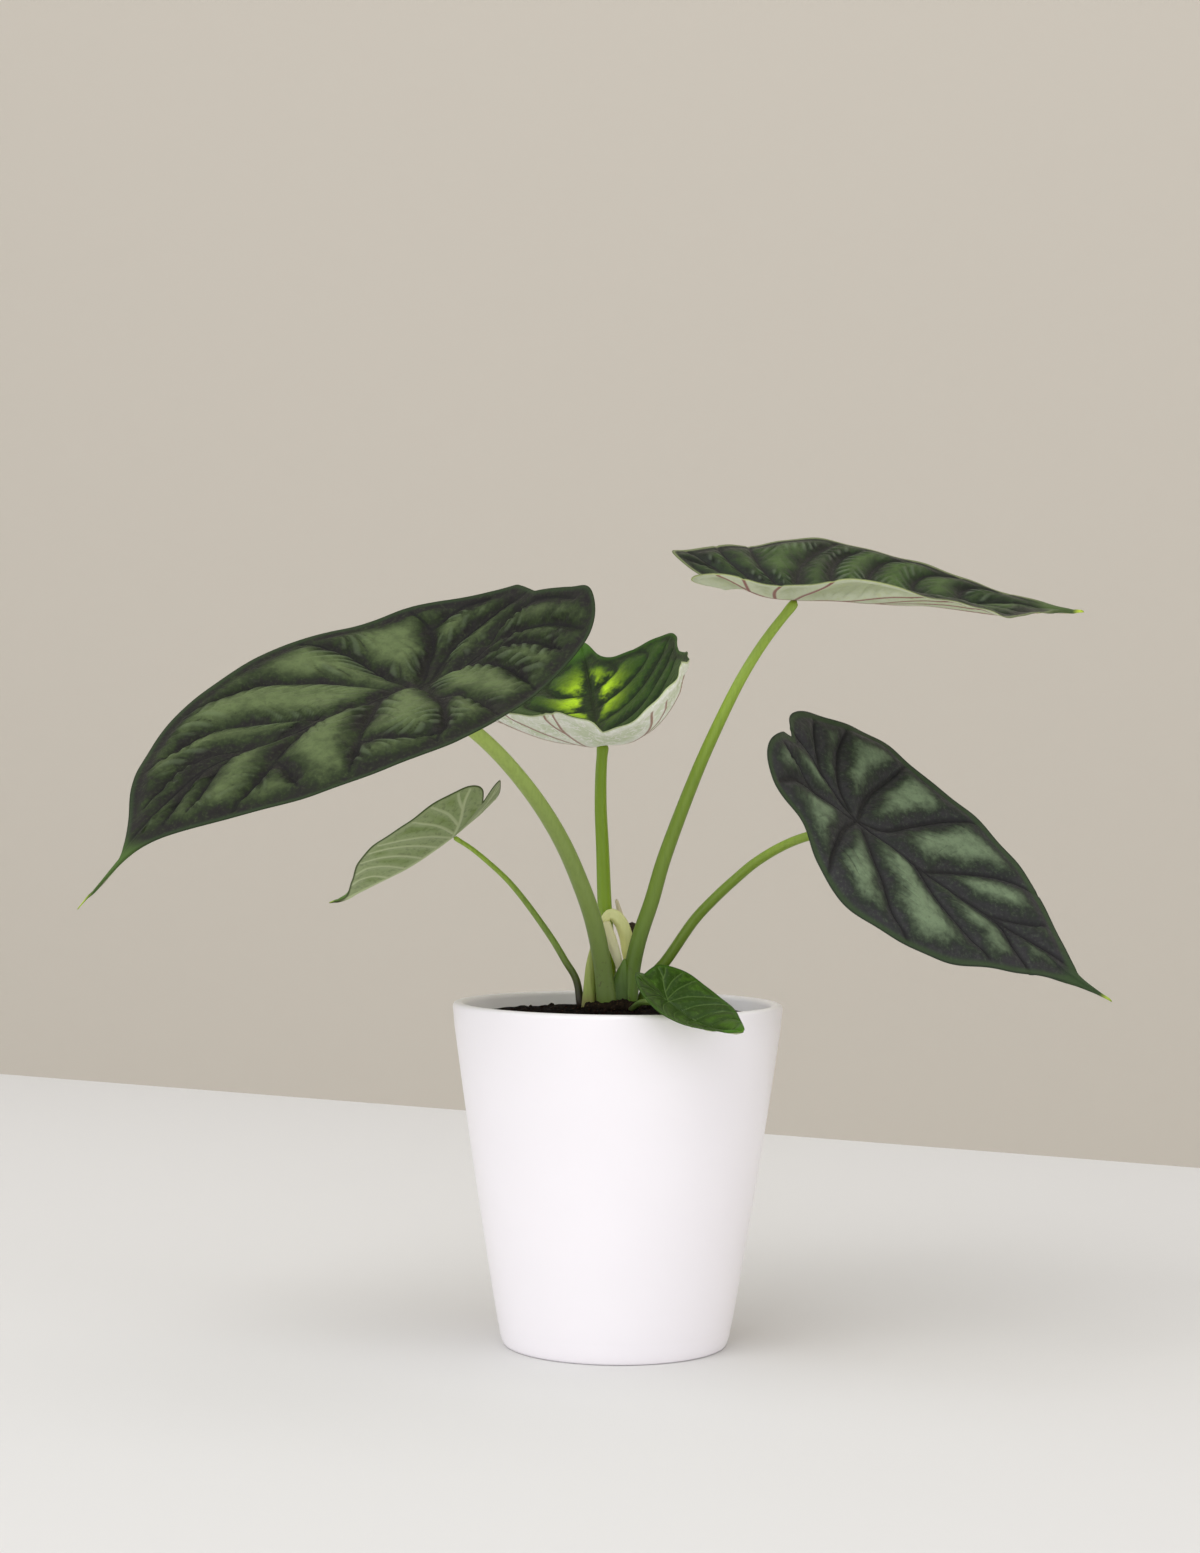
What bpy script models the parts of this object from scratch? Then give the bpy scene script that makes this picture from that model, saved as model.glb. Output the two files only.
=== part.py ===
"""Potted alocasia: six peltate leaves on fleshy stalks, in potting mix, in a white glazed pot.

Design values are in millimetres and degrees. Origin: centre of the pot's flat base, +Z up, front -Y.
"""
import math

import bmesh
import bpy
import numpy as np
from mathutils import Matrix, Vector

MM = 0.001
GAP = 0.3                    # clearance kept between neighbouring solids

# ---- pot and potting mix -------------------------------------------------------------------
POT_HEIGHT = 134.2
RIM_RADIUS = 65.0
LIP_THICKNESS = 4.5
FOOT_HEIGHT = 9.0            # the wall turns in to a rounded foot below this height
FOOT_WALL_RADIUS = 46.2
BASE_RADIUS = 42.6
FLOOR_THICKNESS = 6.0
INNER_FLOOR_RADIUS = 39.5
INNER_CORNER = 4.0
MOUND_RADIUS = 19.0          # the mix is flat under the crown, then falls to the wall
MOUND_HEIGHT = 133.2
MIX_EDGE_RADIUS = 38.0
MIX_EDGE_HEIGHT = 128.6
LATHE_STEPS = 64

# ---- crown ---------------------------------------------------------------------------------
CROWN_CENTRE = (-1.5, 0.5)
CROWN_RADIUS = 13.0
CROWN_HEIGHT = 2.0
STALK_FOOT = MOUND_HEIGHT + CROWN_HEIGHT + 3 * GAP

# ---- leaf blades ---------------------------------------------------------------------------
BLADE_THICKNESS = 0.8
OUTLINE_POINTS = 22          # along each side, from tip to notch
BLADE_RINGS = 7              # from the stalk's place out to the margin
SPINE_STEPS = 160

# Half-widths as parts of the leaf's half-width, where each stands along the leaf: the first seven
# as parts of the length from stalk to shoulder (1 at the drip tip's root), then parts of the lobe.
FRONT_STATIONS = (0.80, 0.58, 0.33, 0.08)
LOBE_STATIONS = (-0.35, -0.72, -0.97, -0.97)
FULL_SHAPE = (0.05, 0.40, 0.76, 0.96, 1.0, 0.94, 0.74, 0.44, 0.20)

# place: where the stalk meets the blade. heading, pitch, roll: direction of the midrib at that
# place. front, tip, back, half: lengths from it to the drip tip's root, of the drip tip, to the
# ends of the rear lobes, and out to one side. bend_front, bend_back, sweep, twist: how the midrib
# turns, in degrees per 100 mm. rise, cup: slope of the left and right halves beside the midrib,
# and how they curve up from there per 100 mm. cup_gain: how the cupping grows toward the tip.
LEAVES = {
    "left_leaf": dict(
        place=(-76.2, -58.5, 254.6), heading=213.7, pitch=-10.5, roll=-3,
        front=136.0, tip=28.0, back=70.8, half=66.4, notch=0.93,
        bend_front=-23, bend_back=82, sweep=7, twist=-6, rise=(-3, -2), cup=(-14, 59),
        cup_gain=(0.17, -0.60), stalk_gap=3.2,
        shape=((0.05, 0.42, 0.77, 0.97, 0.99, 0.81, 0.76, 0.55, 0.34),
               (0.04, 0.42, 0.75, 0.94, 1.02, 0.99, 0.77, 0.30, 0.24))),
    "centre_leaf": dict(
        place=(-6.9, 13.6, 236.7), heading=94.8, pitch=13.6, roll=-23.4,
        front=93.0, tip=8.0, back=55.4, half=52.4, notch=0.85,
        bend_front=27.3, bend_back=73, sweep=-9, twist=-34.7, rise=(21.9, -7.2), cup=(57, 117.3),
        cup_gain=(0.32, -1.37), stalk_gap=2.2,
        shape=((0.07, 0.41, 0.76, 0.96, 1.01, 0.94, 0.51, 0.34, 0.10),
               (0.06, 0.22, 0.84, 0.87, 0.98, 0.96, 0.89, 0.52, 0.20))),
    "top_leaf": dict(
        place=(68.4, -11.7, 293.0), heading=16.9, pitch=-0.2, roll=20.6,
        front=113.1, tip=12.0, back=47.5, half=55.8, notch=0.69,
        bend_front=-1.5, bend_back=33.2, sweep=1.5, twist=1.65, rise=(10.7, 14.5),
        cup=(-7.7, 34.8), cup_gain=(0.41, -1.7), stalk_gap=1.8,
        shape=((0.05, 0.32, 0.70, 1.04, 0.98, 0.81, 0.63, 0.49, 0.38),
               (0.05, 0.39, 0.79, 1.03, 1.09, 0.69, 0.50, 0.38, 0.06))),
    "right_leaf": dict(
        place=(90.4, -39.3, 206.0), heading=-9, pitch=-37.5, roll=19.3,
        front=99.8, tip=16.0, back=48.8, half=51.1, notch=0.86,
        bend_front=6.7, bend_back=73.6, sweep=-3.4, twist=14, rise=(2.7, 2.9), cup=(38, -34),
        cup_gain=(0, 0), stalk_gap=2.4,
        shape=((0.06, 0.41, 0.73, 0.95, 1.01, 1.10, 0.81, 0.40, 0.16),
               (0.05, 0.40, 0.76, 0.98, 0.99, 0.72, 0.74, 0.53, 0.27))),
    "low_leaf": dict(
        place=(-66.7, 20.4, 198.7), heading=146, pitch=-33, roll=-5,
        front=59.0, tip=10.0, back=28.5, half=28.1, notch=0.72,
        bend_front=24, bend_back=85, sweep=2, twist=8, rise=(17, 17), cup=(0, 0),
        cup_gain=(0, 0), shape=(FULL_SHAPE, FULL_SHAPE), stalk_gap=1.6),
    "rim_leaf": dict(
        place=(18.3, -60.0, 139.3), heading=-33, pitch=-37.5, roll=12,
        front=37.5, tip=0.5, back=15.2, half=17.2, notch=0.75,
        bend_front=127, bend_back=101, sweep=-18, twist=13, rise=(17, 18), cup=(0, 0),
        cup_gain=(0, 0), stalk_gap=1.6,
        shape=((0.30,) + FULL_SHAPE[1:], (0.30,) + FULL_SHAPE[1:])),
}

# ---- leaf stalks: radius at foot and at blade, then the route from the crown up -------------
STALKS = {
    "left_leaf": (3.8, 2.6, [(-4, -6, STALK_FOOT), (-6.5, -7, 151), (-10, -10, 167),
                             (-15.5, -15, 182.5), (-22.5, -21, 198), (-32, -28, 213.5),
                             (-44.5, -37, 229), (-55, -45, 239), (-66, -53, 247)]),
    "centre_leaf": (3.2, 2.1, [(-3.5, 9, STALK_FOOT), (-4, 9, 150), (-5.5, 9.5, 172),
                               (-6.5, 11.0, 194), (-7.4, 12.3, 211), (-7.4, 13.2, 225)]),
    "top_leaf": (3.3, 1.7, [(4, -3, STALK_FOOT), (5.5, -3, 147), (8, -4, 159),
                            (13, -4.5, 174.5), (17.5, -5, 190.5), (29, -6, 222),
                            (35.5, -7, 237.5), (47, -8, 261.5), (56.5, -8.5, 277)]),
    "right_leaf": (2.2, 1.6, [(9, 6, STALK_FOOT), (13.5, 5, 143.5), (19, 3, 150.5),
                              (30, -2, 167), (37, -6, 175), (45, -11, 183), (54, -18, 191),
                              (67.5, -28, 199)]),
    "low_leaf": (1.5, 0.85, [(-14.5, 4, STALK_FOOT), (-16.5, 5, 142.5), (-21, 6, 150),
                             (-26, 8, 158), (-37.5, 12, 173.5), (-44.5, 14, 181.5),
                             (-53, 17, 189), (-59.5, 19, 194)]),
    "rim_leaf": (1.3, 1.0, [(5, -10.5, STALK_FOOT), (8.5, -25, 135.8), (12, -40, 137.2),
                            (15, -51, 138)]),
}
STALK_POINTS = 22

# ---- sheaths and remains at the crown: radius along each, then its route --------------------
SHEATHS = {
    "green_sheath": ((2.6, 2.3, 1.6, 0.6),
                     [(-11.3, -3.5, STALK_FOOT), (-11.2, -3.3, 143), (-10.9, -3, 150.5),
                      (-10.3, -2.6, 156.5)]),
    "yellow_sheath": ((1.3, 1.3, 1.4, 1.8, 1.9, 1.7, 0.8),
                      [(4.4, 3.6, STALK_FOOT), (4.6, 3.6, 147), (3.9, 3.5, 154.5),
                       (2.9, 3.4, 161), (0.5, 3.3, 166.2), (-3, 3.2, 168.6), (-6.4, 3, 165)]),
    "sheath_strip": ((1.3, 1.3, 1.5, 1.4, 0.7),
                     [(0.5, 1.5, STALK_FOOT), (0.2, 1.4, 143), (-0.4, 1, 150), (-2.4, 0.2, 157),
                      (-4.6, -1.4, 163)]),
    "papery_sheath": ((0.5, 0.6, 0.8, 0.8, 0.4),
                      [(1.8, 10.8, STALK_FOOT), (3, 10.5, 146), (3.9, 9.8, 155.5),
                       (2.3, 9.8, 163), (-1, 9.9, 174.5)]),
    "dead_stub": ((1.6, 1.5, 1.5, 1.3),
                  [(5, 7.2, STALK_FOOT), (5.2, 7.2, 148), (5.5, 7.2, 158), (5.4, 7.2, 165.5)]),
}
SHEATH_POINTS = 12

# ---- colours (sRGB hex), roughness ----------------------------------------------------------
GLAZE = ("F4F0F4", 0.25)
MIX = ("1C1512", 0.95)
CROWN_SKIN = ("3B3020", 0.85)
BLADE_DARK = ("33432E", 0.42)
BLADE_YOUNG = ("3F6A1A", 0.40)
BLADE_PALE = ("8BA05F", 0.55)
BLADE_GLOSSY = ("3C6A1C", 0.30)
STALK_GREEN = ("7C9F38", 0.45)
STALK_YOUNG = ("86AB2C", 0.42)
SHEATH_YELLOW = ("D6D583", 0.50)
SHEATH_GREEN = ("A3B04A", 0.50)
SHEATH_PAPER = ("C9B89A", 0.80)
DEAD_BROWN = ("231A12", 0.90)


def clear_scene():
    for item in list(bpy.data.objects):
        bpy.data.objects.remove(item, do_unlink=True)


def linear(hex_colour):
    """sRGB hex to the linear RGBA that a shader takes."""
    parts = [int(hex_colour[k:k + 2], 16) / 255 for k in (0, 2, 4)]
    return [p / 12.92 if p <= 0.04045 else ((p + 0.055) / 1.055) ** 2.4 for p in parts] + [1.0]


def give_material(item, finish):
    colour, roughness = finish
    material = bpy.data.materials.new(item.name)
    material.use_nodes = True
    shader = material.node_tree.nodes["Principled BSDF"]
    shader.inputs["Base Color"].default_value = linear(colour)
    shader.inputs["Roughness"].default_value = roughness
    shader.inputs["Metallic"].default_value = 0.0
    item.data.materials.append(material)


def add_mesh(name, mesh_edit, finish):
    """One object from a bmesh, its normals facing out."""
    bmesh.ops.recalc_face_normals(mesh_edit, faces=mesh_edit.faces)
    mesh = bpy.data.meshes.new(name)
    mesh_edit.to_mesh(mesh)
    mesh_edit.free()
    item = bpy.data.objects.new(name, mesh)
    bpy.context.collection.objects.link(item)
    give_material(item, finish)
    return item


def smooth_path(points, count):
    """count points on a centripetal Catmull-Rom curve through points."""
    knots = np.asarray(points, float)
    knots = np.vstack([2 * knots[0] - knots[1], knots, 2 * knots[-1] - knots[-2]])
    chords = np.linalg.norm(np.diff(knots, axis=0), axis=1)
    at = np.concatenate([[0.0], np.cumsum(np.sqrt(np.maximum(chords, 1e-9)))])
    x = np.linspace(at[1], at[-2], count)
    i = np.clip(np.searchsorted(at, x, side="right") - 1, 1, len(knots) - 3)

    def mix(first, second, start, end):
        share = ((x - start) / (end - start))[:, None]
        return first * (1 - share) + second * share

    a = mix(knots[i - 1], knots[i], at[i - 1], at[i])
    b = mix(knots[i], knots[i + 1], at[i], at[i + 1])
    c = mix(knots[i + 1], knots[i + 2], at[i + 1], at[i + 2])
    return mix(mix(a, b, at[i - 1], at[i + 1]), mix(b, c, at[i], at[i + 2]), at[i], at[i + 1])


def lathe(name, profile, finish, centre=(0.0, 0.0)):
    """A closed solid of revolution from (radius, height) points that start and end on the axis."""
    edit = bmesh.new()
    ring = [edit.verts.new((r * MM, 0.0, z * MM)) for r, z in profile]
    edges = [edit.edges.new(pair) for pair in zip(ring, ring[1:])]
    bmesh.ops.spin(edit, geom=ring + edges, cent=(0, 0, 0), axis=(0, 0, 1),
                   angle=2 * math.pi, steps=LATHE_STEPS, use_merge=True)
    bmesh.ops.remove_doubles(edit, verts=edit.verts, dist=1e-6)
    bmesh.ops.translate(edit, verts=edit.verts, vec=(centre[0] * MM, centre[1] * MM, 0))
    return add_mesh(name, edit, finish)


def rounded(corner, before, after, radius, steps):
    """Points of a fillet where the line before-corner-after turns."""
    corner, before, after = Vector(corner), Vector(before), Vector(after)
    start = corner + (before - corner).normalized() * radius
    end = corner + (after - corner).normalized() * radius
    ts = [k / steps for k in range(steps + 1)]
    return [tuple(start * (1 - t) ** 2 + corner * 2 * t * (1 - t) + end * t ** 2) for t in ts]


def inner_radius(height):
    """Radius of the pot's inner wall."""
    share = (height - FLOOR_THICKNESS) / (POT_HEIGHT - FLOOR_THICKNESS)
    return INNER_FLOOR_RADIUS + share * (RIM_RADIUS - LIP_THICKNESS - INNER_FLOOR_RADIUS)


def build_pot():
    foot = (FOOT_WALL_RADIUS, FOOT_HEIGHT)
    rim_out, rim_in = (RIM_RADIUS, POT_HEIGHT), (inner_radius(POT_HEIGHT), POT_HEIGHT)
    shoulder = (RIM_RADIUS - 0.3, POT_HEIGHT - 6)
    floor_edge = (INNER_FLOOR_RADIUS, FLOOR_THICKNESS)
    profile = [(0.0, 0.0), (BASE_RADIUS, 0.0), (BASE_RADIUS + 1.9, 1.4), (BASE_RADIUS + 2.9, 4.0)]
    profile += [foot, shoulder]
    profile += rounded(rim_out, shoulder, rim_in, LIP_THICKNESS * 0.45, 5)
    profile += rounded(rim_in, rim_out, floor_edge, LIP_THICKNESS * 0.45, 5)
    profile += rounded(floor_edge, rim_in, (0.0, FLOOR_THICKNESS), INNER_CORNER, 4)
    profile += [(0.0, FLOOR_THICKNESS)]
    return lathe("pot", profile, GLAZE)


def build_potting_mix():
    bottom = FLOOR_THICKNESS + GAP
    wall = INNER_FLOOR_RADIUS - GAP * 1.5
    corner = (wall, bottom)
    top_edge = (inner_radius(MIX_EDGE_HEIGHT) - GAP * 1.5, MIX_EDGE_HEIGHT)
    profile = [(0.0, bottom)]
    profile += rounded(corner, (0.0, bottom), top_edge, INNER_CORNER + 0.5, 4)
    profile += [top_edge, (MIX_EDGE_RADIUS, MIX_EDGE_HEIGHT)]
    for k in range(1, 5):
        share = k / 4
        radius = MIX_EDGE_RADIUS + share * (MOUND_RADIUS - MIX_EDGE_RADIUS)
        ease = share * share * (3 - 2 * share)
        profile.append((radius, MIX_EDGE_HEIGHT + ease * (MOUND_HEIGHT - MIX_EDGE_HEIGHT)))
    profile.append((0.0, MOUND_HEIGHT))
    return lathe("potting_mix", profile, MIX)


def build_crown():
    low, high = MOUND_HEIGHT + GAP, MOUND_HEIGHT + GAP + CROWN_HEIGHT
    profile = [(0.0, low), (CROWN_RADIUS, low)]
    profile += rounded((CROWN_RADIUS, high), (CROWN_RADIUS, low), (0.0, high), 1.6, 4)
    profile += [(0.0, high)]
    return lathe("crown", profile, CROWN_SKIN, CROWN_CENTRE)


def tube(name, points, radii, finish):
    """A stalk: a curve with round section, one radius for each of its points, capped."""
    curve = bpy.data.curves.new(name, "CURVE")
    curve.dimensions = "3D"
    curve.bevel_depth = MM
    curve.bevel_resolution = 2
    curve.render_resolution_u = 0
    curve.use_fill_caps = True
    spline = curve.splines.new("POLY")
    spline.points.add(len(points) - 1)
    for knot, point, radius in zip(spline.points, points, radii):
        knot.co = (point[0] * MM, point[1] * MM, point[2] * MM, 1.0)
        knot.radius = radius
    item = bpy.data.objects.new(name, curve)
    bpy.context.collection.objects.link(item)
    give_material(item, finish)
    return item


def leaf_axes(leaf):
    """Unit vectors at the stalk's place: along the midrib, to the left, and up out of the blade."""
    heading, pitch = math.radians(leaf["heading"]), math.radians(leaf["pitch"])
    along = Vector((math.cos(heading) * math.cos(pitch), math.sin(heading) * math.cos(pitch),
                    math.sin(pitch)))
    left = Vector((-math.sin(heading), math.cos(heading), 0.0))
    tilt = Matrix.Rotation(math.radians(leaf["roll"]), 3, along)
    left = tilt @ left
    return np.array([along, left, along.cross(left)])


def midrib(leaf, u):
    """Places and directions on the midrib at distances u from the stalk, in the leaf's axes."""
    reach = max(leaf["front"] + leaf["tip"], leaf["back"])
    g = np.linspace(-reach, reach, SPINE_STEPS + 1)
    bend = np.radians(np.where(g > 0, leaf["bend_front"], leaf["bend_back"]) * g / 100)
    sweep = np.radians(leaf["sweep"] * g / 100)
    tangent = np.stack([np.cos(bend) * np.cos(sweep), np.cos(bend) * np.sin(sweep),
                        np.sin(bend)], axis=1)
    step = (tangent[1:] + tangent[:-1]) / 2 * (g[1] - g[0])
    place = np.vstack([np.zeros(3), np.cumsum(step, axis=0)])
    place -= place[SPINE_STEPS // 2]
    pick = [np.stack([np.interp(u, g, array[:, k]) for k in range(3)], axis=-1)
            for array in (place, tangent)]
    return pick[0], pick[1] / np.linalg.norm(pick[1], axis=-1, keepdims=True)


def blade_points(leaf, u, v):
    """Points of the blade's middle surface at u along the midrib and v to the left of it."""
    place, along = midrib(leaf, u)
    across = np.cross((0.0, 0.0, 1.0), along)
    across /= np.linalg.norm(across, axis=-1, keepdims=True)
    up = np.cross(along, across)
    twist = np.radians(leaf["twist"] * u / 100)[..., None]
    across, up = (across * np.cos(twist) + up * np.sin(twist),
                  up * np.cos(twist) - across * np.sin(twist))
    side = np.where(v >= 0, 0, 1)
    start = np.radians(np.array(leaf["rise"], float)[side])
    gain = 1 + np.array(leaf["cup_gain"], float)[side] * u / 100
    curve = np.radians(np.array(leaf["cup"], float)[side]) / 100 * gain
    curve = np.where(np.abs(curve) < 1e-6, 1e-6, curve)
    reach = np.abs(v)
    out = (np.sin(start + curve * reach) - np.sin(start)) / curve * np.sign(v)
    lift = (np.cos(start) - np.cos(start + curve * reach)) / curve
    local = place + across * out[..., None] + up * lift[..., None]
    return np.array(leaf["place"]) + local @ leaf_axes(leaf)


def half_outline(leaf, side):
    """(u, v) from drip tip to notch along one side; side 0 is left and 1 is right."""
    neck, *widths = leaf["shape"][side]
    front, tip, back, half = leaf["front"], leaf["tip"], leaf["back"], leaf["half"]
    knots = [(front + tip, 0.0), (front + tip / 2, neck * half / 4), (front, neck * half)]
    knots += [(s * front if s > 0.1 else s * (front + tip), w * half)
              for s, w in zip(FRONT_STATIONS, widths)]
    knots += [(s * back, w * half) for s, w in zip(LOBE_STATIONS, widths[4:])]
    knots.append((-leaf["notch"] * back, 0.0))
    return smooth_path(knots, OUTLINE_POINTS)


def build_blade(name, leaf, finish):
    left, right = half_outline(leaf, 0), half_outline(leaf, 1)
    right[:, 1] *= -1
    outline = np.vstack([left, right[-2:0:-1]])
    count = len(outline)
    shares = np.linspace(0, 1, BLADE_RINGS + 1)[1:]
    flat = np.vstack([outline * share for share in shares])
    places = blade_points(leaf, flat[:, 0], flat[:, 1]) * MM
    edit = bmesh.new()
    centre = edit.verts.new(Vector(leaf["place"]) * MM)
    verts = [edit.verts.new(place) for place in places]
    for k in range(count):
        n = (k + 1) % count
        edit.faces.new((centre, verts[k], verts[n]))
        for ring in range(BLADE_RINGS - 1):
            a, b = ring * count, (ring + 1) * count
            edit.faces.new((verts[a + k], verts[b + k], verts[b + n], verts[a + n]))
    item = add_mesh(name, edit, finish)
    solid = item.modifiers.new("thickness", "SOLIDIFY")
    solid.thickness = BLADE_THICKNESS * MM
    solid.offset = 0.0
    solid.use_even_offset = False
    return item


def build_stalk(name, leaf, foot_radius, top_radius, route, finish):
    """A stalk from the crown to just under the blade."""
    under = Vector(leaf["place"]) - Vector(leaf_axes(leaf)[2]) * leaf["stalk_gap"]
    points = smooth_path(route + [tuple(under)], STALK_POINTS)
    radii = np.linspace(foot_radius, top_radius, STALK_POINTS)
    return tube(name, points, radii, finish)


def build_sheath(name, radii, route, finish):
    points = smooth_path(route, SHEATH_POINTS)
    along = np.linspace(0, 1, SHEATH_POINTS)
    return tube(name, points, np.interp(along, np.linspace(0, 1, len(radii)), radii), finish)


def build():
    clear_scene()
    build_pot()
    build_potting_mix()
    build_crown()
    blade_finish = {"centre_leaf": BLADE_YOUNG, "low_leaf": BLADE_PALE, "rim_leaf": BLADE_GLOSSY}
    stalk_finish = {"centre_leaf": STALK_YOUNG}
    for name, leaf in LEAVES.items():
        build_blade(name + "_blade", leaf, blade_finish.get(name, BLADE_DARK))
        build_stalk(name + "_stalk", leaf, *STALKS[name], stalk_finish.get(name, STALK_GREEN))
    sheath_finish = {"green_sheath": SHEATH_GREEN, "papery_sheath": SHEATH_PAPER,
                     "dead_stub": DEAD_BROWN}
    for name, (radii, route) in SHEATHS.items():
        build_sheath(name, radii, route, sheath_finish.get(name, SHEATH_YELLOW))


build()
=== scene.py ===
# %% [markdown]
# # A potted alocasia
# Six leathery leaves on fleshy stalks, a tangle of sheaths at the crown, dark potting mix and a
# white glazed pot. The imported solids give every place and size; the cells below rebuild what is
# seen, each piece standing for the solid it grew out of. Lengths are in millimetres until a mesh
# is written, then in metres.

# %% Load the fixed frame
import math

import bmesh
import bpy
import numpy as np
from mathutils import Matrix, Vector, noise


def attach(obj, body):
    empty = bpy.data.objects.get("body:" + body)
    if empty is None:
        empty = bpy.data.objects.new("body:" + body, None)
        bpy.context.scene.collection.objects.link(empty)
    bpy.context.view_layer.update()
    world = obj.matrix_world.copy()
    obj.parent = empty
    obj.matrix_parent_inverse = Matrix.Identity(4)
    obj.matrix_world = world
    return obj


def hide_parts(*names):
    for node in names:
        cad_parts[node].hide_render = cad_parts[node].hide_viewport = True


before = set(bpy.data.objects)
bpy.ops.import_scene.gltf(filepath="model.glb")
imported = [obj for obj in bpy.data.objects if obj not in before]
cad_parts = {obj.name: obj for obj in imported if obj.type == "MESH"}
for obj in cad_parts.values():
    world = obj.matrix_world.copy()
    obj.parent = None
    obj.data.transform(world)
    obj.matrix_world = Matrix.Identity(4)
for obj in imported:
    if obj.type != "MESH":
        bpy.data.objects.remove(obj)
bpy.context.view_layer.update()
MM = 0.001
print("frame:", len(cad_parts), "nodes")

# %% [markdown]
# Colours are written as sRGB hex, as a paint chart gives them, and shaders want linear light, so
# one function converts. One more adds a shader node and wires it in the same call.

# %% Colour and shader helpers
def linear(hex_colour):
    """sRGB hex to linear RGBA."""
    parts = [int(hex_colour[k:k + 2], 16) / 255 for k in (0, 2, 4)]
    return [p / 12.92 if p <= 0.04045 else ((p + 0.055) / 1.055) ** 2.4 for p in parts] + [1.0]


def add(tree, kind, inputs=(), **settings):
    """A node with its settings; each input is a value or another node's output."""
    node = tree.nodes.new("ShaderNode" + kind)
    for key, value in settings.items():
        setattr(node, key, value)
    for key, value in dict(inputs).items():
        if isinstance(value, bpy.types.NodeSocket):
            tree.links.new(value, node.inputs[key])
        else:
            node.inputs[key].default_value = value
    return node


def new_material(name):
    material = bpy.data.materials.new(name)
    material.use_nodes = True
    return material, material.node_tree, material.node_tree.nodes["Principled BSDF"]


def blend(tree, share, first, second, mode="MIX"):
    """Colour between first and second; each is a hex string or an output."""
    pick = [linear(c) if isinstance(c, str) else c for c in (first, second)]
    return add(tree, "Mix", {0: share, 6: pick[0], 7: pick[1]}, data_type="RGBA",
               blend_type=mode).outputs[2]


def remap(tree, value, low, high, to_low=0.0, to_high=1.0):
    """value eased from low..high to to_low..to_high."""
    return add(tree, "MapRange", {0: value, 1: low, 2: high, 3: to_low, 4: to_high},
               interpolation_type="SMOOTHSTEP").outputs[0]


def maths(tree, kind, first, second=0.0):
    return add(tree, "Math", {0: first, 1: second}, operation=kind).outputs[0]


def attribute(tree, name):
    return add(tree, "Attribute", attribute_name=name).outputs["Fac"]


def grain(tree, scale_mm, detail=3.0, rough=0.55, stretch=(1, 1, 1)):
    """Noise with a given feature size in millimetres, in the object's own space."""
    place = add(tree, "TexCoord").outputs["Object"]
    place = add(tree, "Mapping", {"Vector": place, "Scale": stretch}).outputs[0]
    return add(tree, "TexNoise", {"Vector": place, "Scale": 1000 / scale_mm, "Detail": detail,
                                  "Roughness": rough}).outputs["Fac"]


def bump(tree, height, distance_mm, strength=1.0, under=None):
    inputs = {"Height": height, "Distance": distance_mm * MM, "Strength": strength}
    if under is not None:
        inputs["Normal"] = under
    return add(tree, "Bump", inputs).outputs[0]


# %% [markdown]
# Most living parts here are one sheet folded into shape: a flat grid whose columns run round the
# piece and whose rows run along it. Moving its vertices by a function keeps the faces even, and
# merging doubles closes the seam and the ends.

# %% Sheets folded by a function
def unit_sheet(around, along):
    """A grid on 0..1 by 0..1."""
    edit = bmesh.new()
    bmesh.ops.create_grid(edit, x_segments=around, y_segments=along, size=0.5)
    bmesh.ops.translate(edit, verts=edit.verts, vec=(0.5, 0.5, 0))
    return edit


def move_all(edit, place):
    """Moves every vertex of edit to place(x, y, z), which works on whole arrays."""
    now = np.array([v.co[:] for v in edit.verts])
    for vert, co in zip(edit.verts, place(*now.T)):
        vert.co = co


def finish_mesh(name, edit, materials, node, smooth=True):
    """An object from edit that stands for the node of the same name."""
    bmesh.ops.recalc_face_normals(edit, faces=edit.faces)
    mesh = bpy.data.meshes.new(name)
    edit.to_mesh(mesh)
    edit.free()
    for material in materials:
        mesh.materials.append(material)
    item = bpy.data.objects.new(name, mesh)
    bpy.context.collection.objects.link(item)
    if smooth:
        mesh.shade_smooth()
    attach(item, "root")
    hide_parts(node)
    return item


def smooth_path(points, count):
    """count points on a centripetal Catmull-Rom curve through points."""
    knots = np.asarray(points, float)
    knots = np.vstack([2 * knots[0] - knots[1], knots, 2 * knots[-1] - knots[-2]])
    chords = np.linalg.norm(np.diff(knots, axis=0), axis=1)
    at = np.concatenate([[0.0], np.cumsum(np.sqrt(np.maximum(chords, 1e-9)))])
    x = np.linspace(at[1], at[-2], count)
    i = np.clip(np.searchsorted(at, x, side="right") - 1, 1, len(knots) - 3)

    def mix(first, second, start, end):
        share = ((x - start) / (end - start))[:, None]
        return first * (1 - share) + second * share

    a = mix(knots[i - 1], knots[i], at[i - 1], at[i])
    b = mix(knots[i], knots[i + 1], at[i], at[i + 1])
    c = mix(knots[i + 1], knots[i + 2], at[i + 1], at[i + 2])
    return mix(mix(a, b, at[i - 1], at[i + 1]), mix(b, c, at[i], at[i + 2]), at[i], at[i + 1])


def evenly(points, count):
    """count points at equal steps along a polyline."""
    run = np.concatenate([[0], np.cumsum(np.linalg.norm(np.diff(points, axis=0), axis=1))])
    want = np.linspace(0, run[-1], count)
    return np.stack([np.interp(want, run, points[:, k]) for k in range(points.shape[1])], 1)


def ease(x, low=0.0, high=1.0):
    t = np.clip((x - low) / (high - low), 0, 1)
    return t * t * (3 - 2 * t)


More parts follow.
